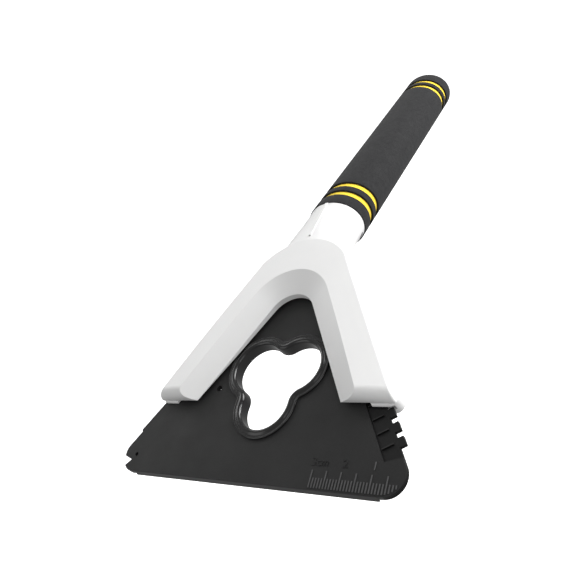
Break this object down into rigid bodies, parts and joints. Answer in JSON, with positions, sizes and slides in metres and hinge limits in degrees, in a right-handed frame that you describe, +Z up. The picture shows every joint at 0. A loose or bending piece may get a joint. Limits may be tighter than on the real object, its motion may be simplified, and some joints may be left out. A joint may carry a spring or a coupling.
{
  "type": "windshield ice scraper",
  "caption": "Ice scraper: foam-gripped handle with a white fork that holds a slide-out three-sided blade with ruler, ice teeth and three-lobed finger hole.",
  "frame": {"origin": "middle of the footprint's bounding box, on the surface that the tool lies on", "axes": "+Z up with the tool lying on its blade's front edge and the grip's rear end, +Y from the blade to the end of the handle, +X to the right seen from behind the handle"},
  "size_m": [0.1138, 0.2516, 0.0314],
  "materials": {
    "blade_black": "satin moulded",
    "ring_black": "glossy soft",
    "shell_white": "smooth moulded",
    "spring_steel": "bright",
    "screw_steel": "zinc plated",
    "tube_metal": "drawn",
    "plug_black": "moulded",
    "foam_yellow": "closed-cell foam",
    "foam_dark": "closed-cell foam"
  },
  "bodies": {
    "handle": {"upper_shell": "shell_white", "lower_shell": "shell_white", "plate_clip": "spring_steel", "shell_screws": "screw_steel", "handle_tube": "tube_metal", "tube_pin": "screw_steel", "tube_plug": "plug_black", "grip_core": "foam_yellow", "grip_skin_front": "foam_dark", "grip_skin_front_ring": "foam_dark", "grip_skin_main": "foam_dark", "grip_skin_rear_ring": "foam_dark", "grip_skin_end": "foam_dark"},
    "blade": {"scraper_plate": "blade_black", "finger_ring": "ring_black"}
  },
  "joints": [
    {"name": "plate_slide", "type": "slide", "parent": "handle", "child": "blade", "axis": [0, -0.9758, -0.2187], "range_m": [0, 0.085]}
  ]
}
